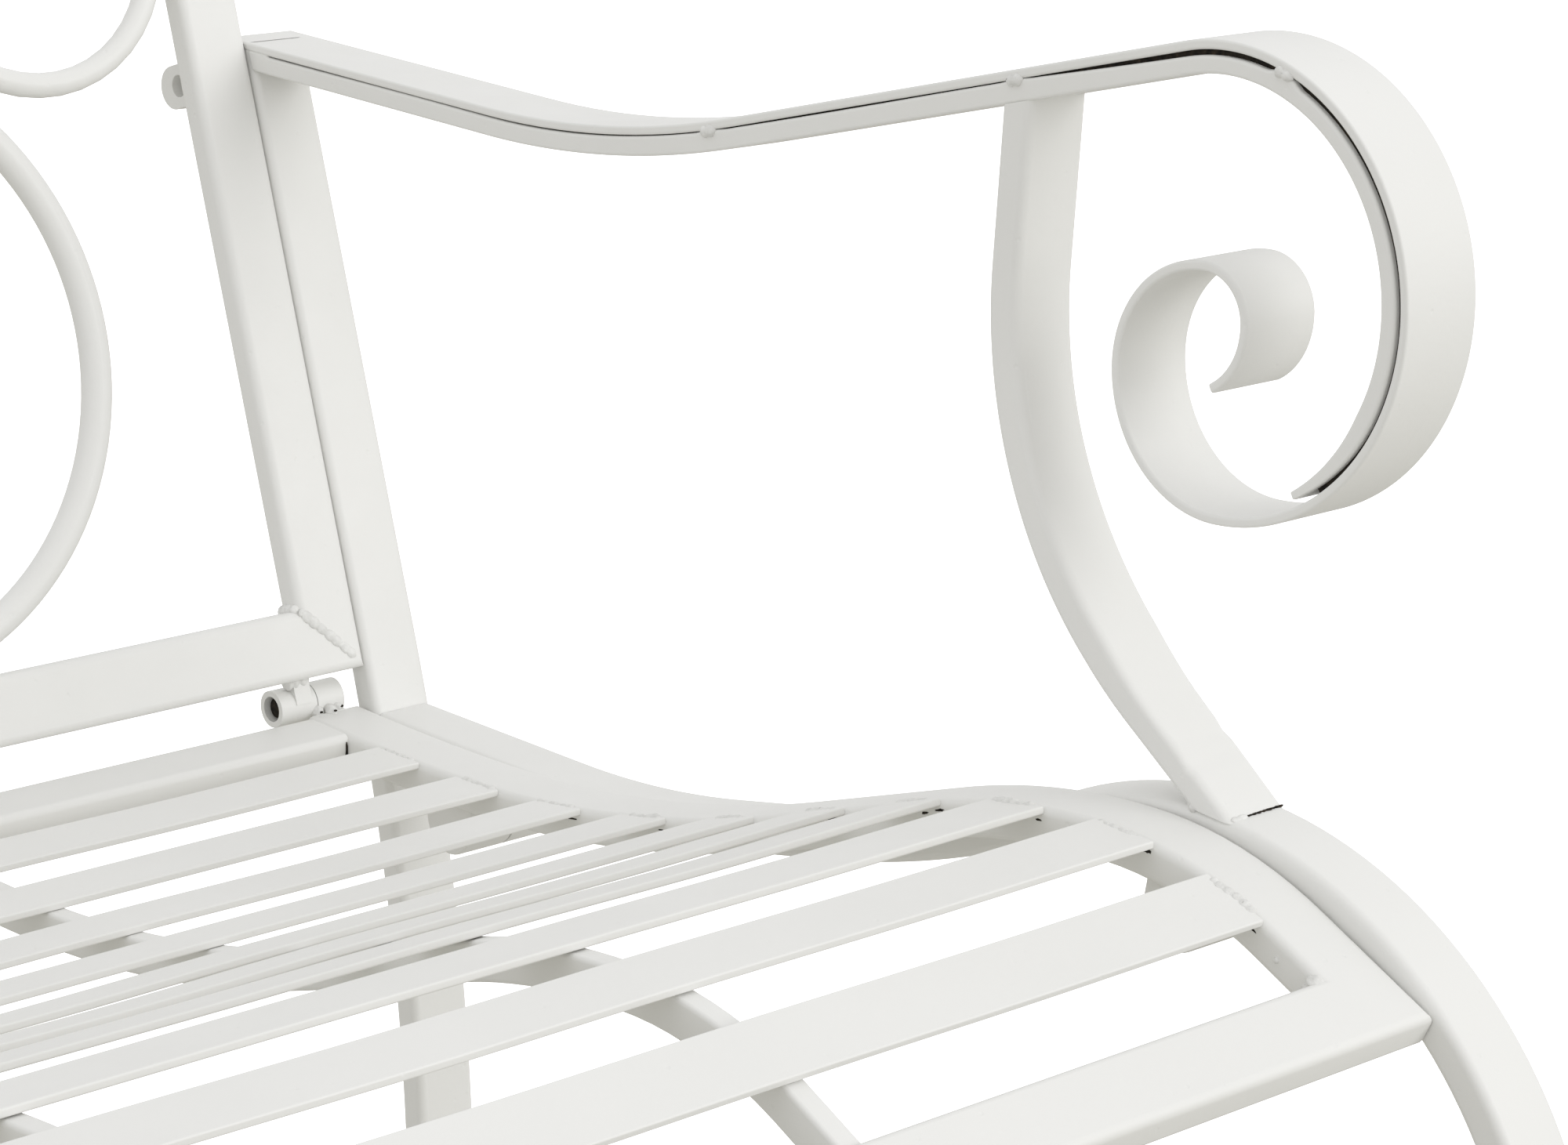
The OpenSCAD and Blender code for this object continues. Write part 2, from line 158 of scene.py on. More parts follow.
# ---- materials ----
class Nodes:
    """Short names for building a node tree."""

    def __init__(self, name):
        self.material = bpy.data.materials.new(name)
        self.material.use_nodes = True
        self.tree = self.material.node_tree
        self.shader = self.tree.nodes["Principled BSDF"]
        self.place = self.add("ShaderNodeTexCoord").outputs["Object"]

    def add(self, kind, **values):
        node = self.tree.nodes.new(kind)
        for key, value in values.items():
            if hasattr(node, key):
                setattr(node, key, value)
            else:
                node.inputs[key.replace("_", " ")].default_value = value
        return node

    def link(self, a, b):
        self.tree.links.new(a, b)

    def noise(self, scale, detail=2.0, roughness=0.5):
        node = self.add("ShaderNodeTexNoise", Scale=scale, Detail=detail, Roughness=roughness)
        self.link(self.place, node.inputs["Vector"])
        return node.outputs["Fac"]

    def ramp(self, source, points):
        node = self.add("ShaderNodeValToRGB")
        while len(node.color_ramp.elements) < len(points):
            node.color_ramp.elements.new(0.5)
        for element, (where, colour) in zip(node.color_ramp.elements, points):
            element.position = where
            element.color = (*colour, 1)
        self.link(source, node.inputs["Fac"])
        return node.outputs["Color"]

    def spread(self, source, low, high, a=0.0, b=1.0):
        node = self.add("ShaderNodeMapRange")
        for key, value in zip(("From Min", "From Max", "To Min", "To Max"), (a, b, low, high)):
            node.inputs[key].default_value = value
        self.link(source, node.inputs["Value"])
        return node.outputs["Result"]

    def bump(self, height, distance, strength=1.0, under=None):
        node = self.add("ShaderNodeBump", Strength=strength, Distance=distance)
        self.link(height, node.inputs["Height"])
        if under is not None:
            self.link(under, node.inputs["Normal"])
        return node.outputs["Normal"]


def grey(value, warm=0.012):
    return (value + warm, value + warm * 0.8, value - warm)


def powder_coat():
    """Off-white satin coat: cloudy tone, orange peel, a few pits and lumps."""
    tone, cloudy = 0.80, 0.012
    peel_depth, lump_depth, pit_depth = 0.00007, 0.00025, 0.00012
    n = Nodes("powder_coat")
    clouds = [(0.3, grey(tone - cloudy)), (0.5, grey(tone)), (0.72, grey(tone + cloudy))]
    n.link(n.ramp(n.noise(9, 3, 0.55), clouds), n.shader.inputs["Base Color"])
    n.link(n.spread(n.noise(60, 3), 0.40, 0.52, 0.3, 0.7), n.shader.inputs["Roughness"])
    peel = n.bump(n.noise(420, 3, 0.55), peel_depth)
    wave = n.bump(n.noise(55, 2, 0.5), lump_depth, under=peel)
    pits = n.add("ShaderNodeTexVoronoi", Scale=110, feature="F1")
    n.link(n.place, pits.inputs["Vector"])
    dimple = n.spread(pits.outputs["Distance"], 0.0, 1.0, 0.02, 0.10)
    n.link(n.bump(dimple, pit_depth, under=wave), n.shader.inputs["Normal"])
    n.shader.inputs["Specular IOR Level"].default_value = 0.42
    return n.material


def weld_coat():
    """The coat where it lies on welds: rougher, with small craters shown as almost black specks of painted
    shade.
    """
    n = Nodes("weld_coat")
    pits = n.add("ShaderNodeTexVoronoi", Scale=430, feature="F1")
    n.link(n.place, pits.inputs["Vector"])
    tone = n.ramp(n.noise(300, 4), [(0.35, grey(0.70)), (0.6, grey(0.795))])
    rare = n.spread(n.noise(170, 2), 0, 1, 0.60, 0.68)
    # almost black specks in a few Voronoi cells: painted shade that stands for small craters
    pit_shade = n.spread(pits.outputs["Distance"], 1, 0, 0.10, 0.24)
    pit_shade_mask = n.add("ShaderNodeMath", operation="MULTIPLY")
    n.link(rare, pit_shade_mask.inputs[0])
    n.link(pit_shade, pit_shade_mask.inputs[1])
    mix = n.add("ShaderNodeMix", data_type="RGBA")
    n.link(pit_shade_mask.outputs[0], mix.inputs["Factor"])
    n.link(tone, mix.inputs["A"])
    mix.inputs["B"].default_value = (0.10, 0.085, 0.065, 1)
    n.link(mix.outputs["Result"], n.shader.inputs["Base Color"])
    n.shader.inputs["Roughness"].default_value = 0.5
    n.link(n.bump(n.noise(700, 4, 0.6), 0.0004), n.shader.inputs["Normal"])
    return n.material


def painted_gap_shade():
    """Painted shade for gaps, joints and bores: almost black, with a little rust."""
    n = Nodes("painted_shade_with_rust")
    n.link(n.ramp(n.noise(500, 3), [(0.35, (0.012, 0.011, 0.010)), (0.62, (0.035, 0.028, 0.02)),
                                    (0.8, (0.10, 0.07, 0.045))]), n.shader.inputs["Base Color"])
    n.shader.inputs["Roughness"].default_value = 0.85
    n.shader.inputs["Specular IOR Level"].default_value = 0.15
    return n.material


def bare_steel():
    """Plain steel of the pins inside the barrels."""
    n = Nodes("pin_steel")
    n.shader.inputs["Metallic"].default_value = 0.9
    n.link(n.ramp(n.noise(200, 3), [(0.3, grey(0.30, 0.01)), (0.7, grey(0.45, 0.005))]),
           n.shader.inputs["Base Color"])
    n.link(n.spread(n.noise(500, 2), 0.35, 0.6), n.shader.inputs["Roughness"])
    return n.material


COAT = powder_coat()
WELD = weld_coat()
STEEL = bare_steel()
# painted shade, put into gaps, joints and bores as thin dark pieces
GAP_SHADE = painted_gap_shade()


# ---- pieces in mesh code ----
CORNER_STEPS = 4                                # a round corner has one point more than this
OWN_WEIGHT, CAD_WEIGHT = 90, 80                 # of the weighted normals


def round_box(u0, u1, v0, v1, r):
    """Outline of a rectangle with round corners, in the order u1 v1, u0 v1, u0 v0, u1 v0."""
    points = []
    corners = ((u1 - r, v1 - r, 0), (u0 + r, v1 - r, 90), (u0 + r, v0 + r, 180), (u1 - r, v0 + r, 270))
    for cu, cv, turn in corners:
        for k in range(CORNER_STEPS + 1):
            a = math.radians(turn + 90 * k / CORNER_STEPS)
            points.append((cu + r * math.cos(a), cv + r * math.sin(a)))
    return points


def skin(rings):
    """A closed surface over rings of points, with flat ends."""
    n = len(rings[0])
    faces = [(i * n + k, i * n + (k + 1) % n, (i + 1) * n + (k + 1) % n, (i + 1) * n + k)
             for i in range(len(rings) - 1) for k in range(n)]
    ends = [tuple(range(n)), tuple((len(rings) - 1) * n + k for k in range(n))]
    return [p for ring in rings for p in ring], faces, ends


def piece(name, parts, material, body, nodes=(), side=1, flat_ends=True):
    """One object from the skins in parts; side -1 mirrors them to the left end."""
    points, faces, flat, rims = [], [], set(), set()
    for vertices, sides, ends in parts:
        start = len(points)
        points += [Vector((p.x * side, p.y, p.z)) for p in vertices]
        faces += [tuple(start + k for k in face) for face in sides]
        if flat_ends:
            flat.update(range(len(faces), len(faces) + len(ends)))
            rims.update(frozenset((start + a, start + b))
                        for end in ends for a, b in zip(end, end[1:] + end[:1]))
        faces += [tuple(start + k for k in face) for face in ends]
    mesh = bpy.data.meshes.new(name)
    mesh.from_pydata(points, [], faces)
    for polygon in mesh.polygons:
        polygon.use_smooth = polygon.index not in flat
    b = bmesh.new()
    b.from_mesh(mesh)
    bmesh.ops.recalc_face_normals(b, faces=b.faces)
    b.to_mesh(mesh)
    b.free()
    for edge in mesh.edges:
        edge.use_edge_sharp = frozenset(edge.vertices) in rims
    mesh.materials.append(material)
    o = bpy.data.objects.new(name, mesh)
    bpy.context.collection.objects.link(o)
    if flat_ends:
        normals = o.modifiers.new("normals", "WEIGHTED_NORMAL")
        normals.keep_sharp = True
        normals.weight = OWN_WEIGHT
    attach(o, body)
    if nodes:
        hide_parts(*nodes)
    return o


def spaced(s0, s1, step):
    """Even places from s0 to s1, about a step apart."""
    count = max(1, round((s1 - s0) / step))
    return [s0 + (s1 - s0) * k / count for k in range(count + 1)]


def bar_rings(path, stops, x0, x1, d0, d1, r, shape=None):
    """Rings of a bar along a side view path, between the depths d0 (a value or a function of s) and d1.

    shape(s, u, v) may shift an outline point.
    """
    rings = []
    for s in stops:
        at_x, _, deep = on_path(path, s, 0)
        low, high = (d0(s), d1) if callable(d0) else (d0, d1)
        outline = round_box(x0, x1, low, high, min(r, (high - low) * 0.45))
        if shape:
            outline = [shape(s, u, v) for u, v in outline]
        rings.append([at_x + Vector((u, 0, 0)) + deep * v for u, v in outline])
    return rings


def to_plane(rings, end, point, normal):
    """Moves the points of the first or last ring along the bar until they lie in a plane."""
    edge, inner = (rings[0], rings[1]) if end == 0 else (rings[-1], rings[-2])
    for k, (a, b) in enumerate(zip(inner, edge)):
        run = b - a
        edge[k] = a + run * ((point - a).dot(normal) / run.dot(normal))


def onto_pad(rings):
    """Cuts a leg off level at the top of its foot pad."""
    while min(p.z for p in rings[-2]) < PAD_T:
        rings.pop()
    to_plane(rings, 1, Vector((0, 0, PAD_T)), Vector((0, 0, 1)))


# ---- side frames ----
SINK = 0.25 * MM                                # how far a welded end goes into its neighbour
SCROLL_S = sum(ARM.lengths[:3])
BAR_END = SCROLL_S + SCROLL_R * MM * math.radians(164)
BAR_CLOSED = 26 * MM                            # the bar lies on the strap up to here
BAR_ON_LEG = 26 * MM                            # where the bar meets the rear leg, along the leg
ARM_ON_LEG = 24 * MM                            # where the leg meets the strap, along the strap
OPEN_BEFORE = 60 * MM                           # how far before the scroll the gap starts to widen
THIN_END = 40 * MM                              # the stretch over which the bar gets thinner
TACKS = [nearest(ARM, Vector((0, DATUM.x + y * MM, DATUM.y + z * MM)))
         for y, z in ((-181.6, 240), (-320.1, 271), (-427.8, 277))]


def bar_gap(s):
    """How far the bar stands off the strap: closed at the tack welds, open towards its end."""
    if s < BAR_CLOSED:
        return STRAP_T - 0.5 * MM
    near = min(abs(s - t) for t in TACKS)
    on = max(0, (s - SCROLL_S + OPEN_BEFORE) / (BAR_END - SCROLL_S + OPEN_BEFORE))
    gap = 0.42 + 0.10 * math.sin(s / MM / 23) + 1.5 * math.sin(math.pi * min(1, on * 1.12)) + 0.9 * on ** 4
    return STRAP_T + gap * MM * min(1, max(0.1, (near - 2 * MM) / (5 * MM)))


def bar_shape(s, u, v):
    """The bar's last stretch gets thinner."""
    thin = max(0, (s - BAR_END + THIN_END) / THIN_END)
    return u, v - (v - STRAP_T - 2.5 * MM) * 0.55 * thin


FOOT_S = nearest(FRONT_LEG, on_path(ARM_SUPPORT, ARM_SUPPORT.length, 0)[0])
FOOT_DEEP = on_path(FRONT_LEG, FOOT_S, 0)[2]    # down into the rail, at the support's foot


def hump(s, centre, width):
    """A smooth hump of height 1; centre and width are in millimetres."""
    return math.exp(-((s - centre * MM) / (width * MM)) ** 2)


def dented(s, u, v):
    """A bent tube: a little flat and wide in the bend, with a dent and a crease on its front face."""
    to_foot = ARM_SUPPORT.length - s
    across = (u - FRAME_X) / TUBE_W - 0.5
    bend = hump(to_foot, 95, 45)
    front = max(0, v / -TUBE_T) if v < -TUBE_T * 0.4 else 0
    dent = 1.3 * hump(to_foot, 46, 15) * (1 - 3 * across * across)
    crease = 0.8 * hump(to_foot, 30 + 10 * across, 2.6)
    flat = 0.7 * bend * (1 - 4 * across * across)
    pull = max(0, 1 - to_foot / (75 * MM))
    in_front = dent + crease + flat + 3.2 * pull
    return u + 0.5 * MM * bend * across * 2, v + (in_front * front + 1.6 * pull) * MM


def rear_leg(side, end):
    """Straight beside the post, then bowed down to the floor."""
    stops = spaced(0, 230 * MM, 30 * MM) + spaced(240 * MM, REAR_LEG.length, 12 * MM)
    leg = bar_rings(REAR_LEG, stops, FRAME_X, FRAME_OUT, 0, TUBE_T, TUBE_R)
    strap = on_path(ARM, ARM_ON_LEG, 0, STRAP_T - SINK)
    to_plane(leg, 0, strap[0], strap[2])
    onto_pad(leg)
    piece("leg_rear_" + end, [skin(leg)], COAT, FRAME, ["rear_leg_" + end], side)


def front_leg(side, end):
    """The rail beside the seat and the front leg in one."""
    leg = bar_rings(FRONT_LEG, spaced(0, FRONT_LEG.length, 6 * MM), FRAME_X, FRAME_OUT, 0, TUBE_T, TUBE_R)
    post = on_path(REAR_LEG, REAR_LEG.lengths[0] * 0.98, 0, SINK)
    while max((p - post[0]).dot(post[2]) for p in leg[1]) > -0.5 * MM:
        leg.pop(0)
    to_plane(leg, 0, post[0], post[2])
    onto_pad(leg)
    piece("leg_front_" + end, [skin(leg)], COAT, FRAME, ["front_leg_" + end], side)


def support_rings():
    """The S-bent tube under the arm, cut off at the bar above it and the rail below it."""
    rings = bar_rings(ARM_SUPPORT, spaced(0, ARM_SUPPORT.length, 2.5 * MM), FRAME_X, FRAME_OUT, -TUBE_T, 0,
                      TUBE_R, dented)
    top = on_path(ARM, nearest(ARM, rings[0][0]), 0, STRAP_T + BAR_T - SINK)
    foot = on_path(FRONT_LEG, FOOT_S, 0, SINK * 3)
    while min((p - top[0]).dot(top[2]) for p in rings[1]) < 0:
        rings.pop(0)
    while max((p - foot[0]).dot(foot[2]) for p in rings[-2]) > 0:
        rings.pop()
    to_plane(rings, 0, top[0], top[2])
    to_plane(rings, 1, foot[0], foot[2])
    return rings


SUPPORT_RINGS = support_rings()


def arm_support(side, end):
    piece("arm_prop_" + end, [skin(SUPPORT_RINGS)], COAT, FRAME, ["arm_support_" + end], side)


def arm_bar(side, end):
    """The flat bar under the strap, which ends in the scroll."""
    under = bar_rings(ARM, spaced(TUBE_T / 2, BAR_END, 2 * MM), FRAME_X, FRAME_OUT, bar_gap, STRAP_T + BAR_T,
                      BAR_R, bar_shape)
    leg_front = on_path(REAR_LEG, BAR_ON_LEG, 0, SINK)
    while max((p - leg_front[0]).dot(leg_front[2]) for p in under[1]) > -0.5 * MM:
        under.pop(0)
    to_plane(under, 0, leg_front[0], leg_front[2])
    piece("bar_under_arm_" + end, [skin(under)], COAT, FRAME, ["arm_bar_" + end], side)


def arm_strap(side, end):
    """The wider strap on top of the bar, which goes on alone into the inner spiral."""
    stops = spaced(0, SCROLL_S, 8 * MM) + spaced(SCROLL_S + 2 * MM, ARM.length, 1.5 * MM)
    over = bar_rings(ARM, stops, FRAME_X, FRAME_X + STRAP_W, 0, STRAP_T, STRAP_R)
    piece("scroll_strap_" + end, [skin(over)], COAT, FRAME, ["arm_strap_" + end], side)


def arm_gap_shade(side, end):
    """Painted shade: an almost black filler inside the gap between the strap and the bar."""
    inset = 2.2 * MM
    between = bar_rings(ARM, spaced(30 * MM, BAR_END - 9 * MM, 4 * MM), FRAME_X + inset, FRAME_OUT - inset,
                        STRAP_T - 0.3 * MM, STRAP_T + 2.6 * MM, 0.3 * MM)
    piece("painted_shade_in_arm_" + end, [skin(between)], GAP_SHADE, FRAME, side=side)


for side, end in ENDS:
    for make in (rear_leg, front_leg, arm_support, arm_bar, arm_strap, arm_gap_shade):
        make(side, end)

# ---- seat frame ----
MITRED = 40 * MM                                # the rail's last stretch, over which its rings turn


def seat_rail(side, end):
    """S-bent tube; its rings turn towards the front until the last one lies in the mitre."""
    stops = spaced(0, SEAT.length - 45 * MM, 7 * MM) + spaced(SEAT.length - MITRED, SEAT.length, 5 * MM)
    rail = bar_rings(SEAT, stops, SEAT_X, RAIL_X, 0, TUBE_T, TUBE_R)
    _, along, _ = on_path(SEAT, SEAT.length, 0)
    for s, ring in zip(stops, rail):
        turned = max(0, (s - SEAT.length + MITRED) / MITRED)
        ring[:] = [p - along * (RAIL_X - p.x) * turned for p in ring]
    piece("side_rail_" + end, [skin(rail)], COAT, FRAME, ["seat_rail_" + end], side)


def straight_bar(path, s, half_length, w, t, r, top=0.0, mitre=0.0, wave=None, step=None):
    """A bar along X whose top lies on a path, centred at s.

    With mitre 1 its ends are cut at 45 degrees. wave(x) is how far it hangs, at places a step apart.
    """
    middle, along, deep = on_path(path, s, 0)
    xs = [-half_length, half_length] if step is None else spaced(-half_length, half_length, step)
    rings = []
    for x in xs:
        drop = wave(x) if wave else 0.0
        ring = []
        for a, v in round_box(-w / 2, w / 2, -top, t - top, r):
            slide = mitre * (a - w / 2) * (1 if x > 0 else -1) if abs(x) == half_length else 0.0
            ring.append(middle + Vector((x + slide, 0, 0)) + along * a + deep * (v + drop))
        rings.append(ring)
    return skin(rings)


def sagging(seed):
    """A slat's line: it hangs a little between the supports."""
    rng = random.Random(seed)
    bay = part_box("slat_1")[1][0] * 2 / BAYS
    depth = [rng.uniform(-0.1, 0.9) * MM for _ in range(BAYS)]

    def drop(x):
        u = (x + SEAT_X) / bay
        k = min(BAYS - 1, max(0, int(u)))
        return depth[k] * math.sin(math.pi * min(1, max(0, u - k))) ** 2
    return drop


SLAT_RAISE = 0.25 * MM
for side, end in ENDS:
    seat_rail(side, end)
piece("rail_across_front",
      [straight_bar(SEAT, SEAT.length - TUBE_W / 2, RAIL_X, TUBE_W, TUBE_T, TUBE_R, mitre=1.0)],
      COAT, FRAME, ["seat_front_rail"])
piece("rail_across_rear", [straight_bar(SEAT, TUBE_W / 2, SEAT_X + 0.5 * MM, TUBE_W, TUBE_T, TUBE_R)],
      COAT, FRAME, ["seat_rear_rail"])
SLAT_S = [SLAT_START + SLAT_W / 2 + SLAT_PITCH * i for i in range(SLATS)]
for i, s in enumerate(SLAT_S):
    slat = straight_bar(SEAT, s, SEAT_X + 0.3 * MM, SLAT_W, SLAT_T, SLAT_R, SLAT_RAISE,
                        wave=sagging(i), step=14 * MM)
    piece(f"seat_slat_{i + 1}", [slat], COAT, FRAME, [f"slat_{i + 1}"])
SUPPORT_X = [-SEAT_X + 2 * SEAT_X * (i + 1) / BAYS for i in range(BAYS - 1)]
for i, x in enumerate(SUPPORT_X):
    rings = bar_rings(SEAT, spaced(TUBE_W, SEAT.length - TUBE_W, 8 * MM), x - SUPPORT_W / 2, x + SUPPORT_W / 2,
                      SLAT_T, SLAT_T + SUPPORT_T, SUPPORT_R)
    piece(f"bar_under_slats_{i + 1}", [skin(rings)], COAT, FRAME, [f"seat_support_{i + 1}"])

# ---- back frame ----
BACK_H = (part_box("back_post_right")[1][2] - BACK_ORIGIN.z) / math.cos(LEAN)
for side, end in ENDS:
    outline = round_box(SEAT_X, RAIL_X, 0, TUBE_T, POST_R)
    post = [[in_back(x, y, RAIL_X - x) for x, y in outline],
            [in_back(x, y, BACK_H - (RAIL_X - x)) for x, y in outline]]
    piece("post_" + end, [skin(post)], COAT, BACK, ["back_post_" + end], side)
for node, z0, z1 in (("bottom", 0, TUBE_W), ("top", BACK_H, BACK_H - TUBE_W)):
    outline = round_box(0, TUBE_W, 0, TUBE_T, BACK_RAIL_R)
    rings = [[in_back(k * (RAIL_X - u), y, z0 + (z1 - z0) * u / TUBE_W) for u, y in outline] for k in (-1, 1)]
    piece(node + "_rail_of_back", [skin(rings)], COAT, BACK, [f"back_{node}_rail"])


# ---- CAD nodes that stay in view: rounded edges and their finish ----
MERGE = 0.00001
FLAT_ANGLE = math.radians(0.4)
BEVEL_ANGLE = math.radians(35)
BEVEL_SEGMENTS = 3


def dress(node, material, edge):
    """Gives a CAD node its material, and rounds its edges by edge millimetres with modifiers."""
    o = frame["nodes"][node]
    o.data.materials.clear()
    o.data.materials.append(material)
    o.modifiers.new("weld", "WELD").merge_threshold = MERGE
    flat = o.modifiers.new("flat", "DECIMATE")
    flat.decimate_type = "DISSOLVE"
    flat.angle_limit = FLAT_ANGLE
    if edge:
        bevel = o.modifiers.new("edges", "BEVEL")
        bevel.width = edge * MM
        bevel.segments = BEVEL_SEGMENTS
        bevel.limit_method = "ANGLE"
        bevel.angle_limit = BEVEL_ANGLE
    for polygon in o.data.polygons:
        polygon.use_smooth = True
    o.modifiers.new("normals", "WEIGHTED_NORMAL").weight = CAD_WEIGHT


# The edge radius in millimetres, by the start of the node's name. Other nodes get none: a piece above
# replaces each of them.
EDGES = {"frame_bosses": 0.8, "seat_bosses": 0.8, "back_bosses": 0.8, "foot_pads": 0.6, "seat_barrel": 0.5,
         "back_barrel": 0.5, "seat_bolts": 0.4, "post_bolts": 0.4, "post_bolt_ends": 0.4, "hinge_pins": 0.3,
         "back_ring": 0, "back_small_rings": 0, "ring_collars": 0}
for name in frame["nodes"]:
    known = [key for key in EDGES if name.startswith(key)]
    dress(name, STEEL if name == "hinge_pins" else COAT, EDGES[max(known, key=len)] if known else 0)


# ---- welds, and slivers of painted shade in gaps and bores, of the kinds and in the places seen on the real bench ----
BEAD_STEP = 0.5 * MM
BEAD_SIDES = 12
SLIVER_SIDES = 14
SLIVER_LIFT = 0.08 * MM


def bead(points, radius, seed, pitch=3.2 * MM, flat=1.0, normal=None):
    """A weld bead along a line of points: overlapping ripples, uneven in width and line."""
    rng = random.Random(seed)
    steps = []
    for a, b in zip(points, points[1:]):
        count = max(2, round((b - a).length / BEAD_STEP))
        steps += [a + (b - a) * k / count for k in range(count)]
    steps.append(points[-1])
    total = sum((b - a).length for a, b in zip(points, points[1:]))
    knobs = [rng.uniform(0.75, 1.2) for _ in range(int(total / pitch) + 3)]
    rings, gone = [], 0.0
    for k, p in enumerate(steps):
        run = (steps[min(k + 1, len(steps) - 1)] - steps[max(k - 1, 0)]).normalized()
        out = (normal or Vector((0, -0.5, 0.85))).copy()
        out = (out - run * out.dot(run)).normalized()
        across = run.cross(out)
        u = gone / pitch
        i = int(u)
        knob = knobs[i] * (1 - u + i) + knobs[i + 1] * (u - i)
        swell = (0.74 + 0.34 * math.sin(math.pi * (u - i)) ** 0.7) * knob
        ends = min(1, math.sqrt(max(0.0, min(k, len(steps) - 1 - k) / (radius / BEAD_STEP))) + 0.05)
        r = radius * swell * ends
        rings.append([p + across * r * math.cos(a) + out * r * flat * math.sin(a)
                      for a in (2 * math.pi * j / BEAD_SIDES for j in range(BEAD_SIDES))])
        gone += BEAD_STEP
    return skin(rings)


def painted_sliver(centre, run, out, length, width, seed):
    """Painted shade for a gap: a thin, almost black, uneven sliver that stands just off the surface."""
    rng = random.Random(seed)
    run = run.normalized()
    across = run.cross(out).normalized()
    top = []
    for k in range(SLIVER_SIDES):
        a = 2 * math.pi * k / SLIVER_SIDES
        wobble = rng.uniform(0.65, 1.15)
        top.append(centre + run * math.cos(a) * length / 2 * wobble + across * math.sin(a) * width / 2 * wobble)
    lift = out.normalized() * SLIVER_LIFT
    return skin([[p - lift * 6 for p in top], [p + lift for p in top]])


def seat_welds(side, end):
    """Slat ends, the front corner, the rear corner with its barrel, and a plugged hole near the front."""
    beads, shade_slivers = [], []
    for i, s in enumerate(SLAT_S):
        rng = random.Random(100 + i)
        a, b = s - SLAT_W / 2 + rng.uniform(0, 5) * MM, s + SLAT_W / 2 - rng.uniform(0, 6) * MM
        line = [on_path(SEAT, a + (b - a) * k / 5, SEAT_X + rng.uniform(-0.6, 0.9) * MM, 0.6 * MM)[0]
                for k in range(6)]
        beads.append(bead(line, rng.uniform(1.6, 2.3) * MM, 7 + i, flat=0.75, normal=Vector((-0.5, 0, 0.85))))
        # slivers of painted shade in the gaps beside the slat end
        for k in range(3):
            where, along, _ = on_path(SEAT, s + rng.uniform(-0.5, 0.5) * SLAT_W, SEAT_X,
                                      SLAT_T + rng.uniform(0.3, 1.8) * MM)
            shade_slivers.append(painted_sliver(where, along, -X, rng.uniform(2, 7) * MM, rng.uniform(0.5, 1.3) * MM,
                                300 + 10 * i + k))
    where, _, deep = on_path(SEAT, SEAT.length - TUBE_W, SEAT_X)
    for depth in (1.5, 5, 9):
        line = [where + deep * (depth - 2) * MM, where + deep * (depth + 3) * MM]
        beads.append(bead(line, 3.2 * MM, int(depth), normal=Vector((-0.7, 0.7, 0))))
    for k, depth in enumerate((3.4, 10.8)):
        start, _, _ = on_path(SEAT, 5 * MM, SEAT_X - 1.2 * MM, depth * MM)
        finish, _, _ = on_path(SEAT, 21 * MM, SEAT_X - 0.6 * MM, depth * MM)
        beads.append(bead([start, finish], 1.7 * MM, 60 + k, normal=-X))
    # the weld between the barrel and the rail with painted shade beside it, painted shade in the open joint
    # beside the rear rail, and a plug near the front
    low = Vector((SEAT_X + 12 * MM, HINGE.y - 7 * MM, HINGE.z - 3.6 * MM))
    for k, (x, y, z) in enumerate(((-6, 0.4, 0.5), (-1, -1.6, 0.4), (3, 0.2, 0.9))):
        lump = low + Vector((x, y, z)) * MM
        line = [lump - X * 2.6 * MM, lump + Vector((2.2, 1.0, 0.8)) * MM]
        beads.append(bead(line, (3.0 - 0.4 * k) * MM, 5 + k, normal=Vector((0, -0.6, 0.6))))
    beads.append(bead([low + Vector((-5, 1.2, 1)) * MM, low + Vector((-6.2, 0.2, -6)) * MM], 1.7 * MM, 9,
                      normal=Vector((-0.4, -0.8, 0))))
    # slivers of painted shade in the gap by the barrel's weld
    for k, (x, y, z) in enumerate(((-7.2, -3.6, 2.0), (-1.5, -4.4, 1.7), (2.6, -3.0, 2.4))):
        shade_slivers.append(painted_sliver(low + Vector((x, y, z)) * MM, X, Vector((-0.1, -0.7, 0.7)), 1.3 * MM, 0.8 * MM,
                            610 + k))
    # a sliver of painted shade in the open joint beside the rear rail
    joint, along, deep = on_path(SEAT, TUBE_W + 0.1 * MM, SEAT_X - 0.5 * MM, 6.3 * MM)
    shade_slivers.append(painted_sliver(joint, deep, along, 9.5 * MM, 1.2 * MM, 620))
    plug_s = nearest(SEAT, Vector((0, DATUM.x - 461 * MM, DATUM.y + 37 * MM)))
    plug, along, _ = on_path(SEAT, plug_s, SEAT_X + 0.3 * MM, 6 * MM)
    beads.append(bead([plug - along * 1.2 * MM, plug + along * 1.2 * MM], 1.5 * MM, 65, normal=-X))
    piece("seat_welds_" + end, beads, WELD, FRAME, side=side, flat_ends=False)
    piece("seat_painted_shade_" + end, shade_slivers, GAP_SHADE, FRAME, side=side, flat_ends=False)


